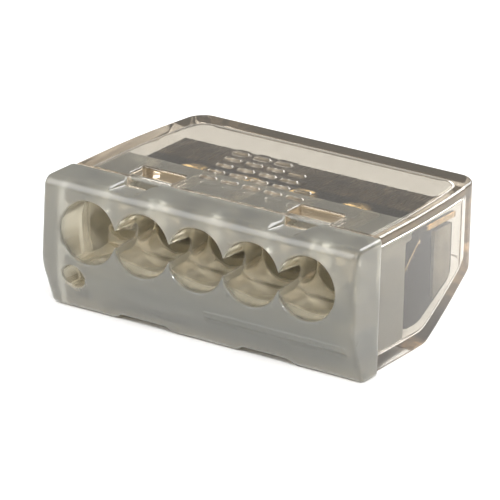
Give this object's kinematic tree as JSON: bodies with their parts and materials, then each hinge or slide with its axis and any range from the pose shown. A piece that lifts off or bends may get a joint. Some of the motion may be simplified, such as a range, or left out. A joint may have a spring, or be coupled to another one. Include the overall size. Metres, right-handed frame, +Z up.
{
  "type": "push-in wire connector",
  "caption": "Flat push-in wire connector: a clear housing and a grey ported entry cap around a busbar and a spring clip with flexing fingers.",
  "frame": {"origin": "centre of the bounding box at its base, the flat underside that the connector rests on", "axes": "+Z up, through the top face; -Y out of the wire ports; +X along the row of ports"},
  "size_m": [0.0244, 0.0174, 0.0094],
  "materials": {
    "grey_polycarbonate": "translucent milky grey, satin",
    "clear_polycarbonate": "clear with a light smoke and amber tint, polished",
    "tinned_copper": "thin tin plate over copper, half bright",
    "spring_steel": "bright rolled stainless strip"
  },
  "bodies": {
    "root": {"entry_cap": "grey_polycarbonate", "clear_housing": "clear_polycarbonate", "busbar": "tinned_copper", "spring_clip_base": "spring_steel"},
    "finger_1": {"spring_finger_1": "spring_steel"},
    "finger_2": {"spring_finger_2": "spring_steel"},
    "finger_3": {"spring_finger_3": "spring_steel"},
    "finger_4": {"spring_finger_4": "spring_steel"},
    "finger_5": {"spring_finger_5": "spring_steel"}
  },
  "joints": [
    {"name": "finger_1_flex", "type": "hinge", "parent": "root", "child": "finger_1", "pos_m": [-0.0085, -0.0002, 0.00425], "axis": [-1, 0, 0], "range_deg": [0, 26], "stiffness_Nm_per_rad": 0.08},
    {"name": "finger_2_flex", "type": "hinge", "parent": "root", "child": "finger_2", "pos_m": [-0.00425, -0.0002, 0.00425], "axis": [-1, 0, 0], "range_deg": [0, 26], "stiffness_Nm_per_rad": 0.08},
    {"name": "finger_3_flex", "type": "hinge", "parent": "root", "child": "finger_3", "pos_m": [0, -0.0002, 0.00425], "axis": [-1, 0, 0], "range_deg": [0, 26], "stiffness_Nm_per_rad": 0.08},
    {"name": "finger_4_flex", "type": "hinge", "parent": "root", "child": "finger_4", "pos_m": [0.00425, -0.0002, 0.00425], "axis": [-1, 0, 0], "range_deg": [0, 26], "stiffness_Nm_per_rad": 0.08},
    {"name": "finger_5_flex", "type": "hinge", "parent": "root", "child": "finger_5", "pos_m": [0.0085, -0.0002, 0.00425], "axis": [-1, 0, 0], "range_deg": [0, 26], "stiffness_Nm_per_rad": 0.08}
  ]
}
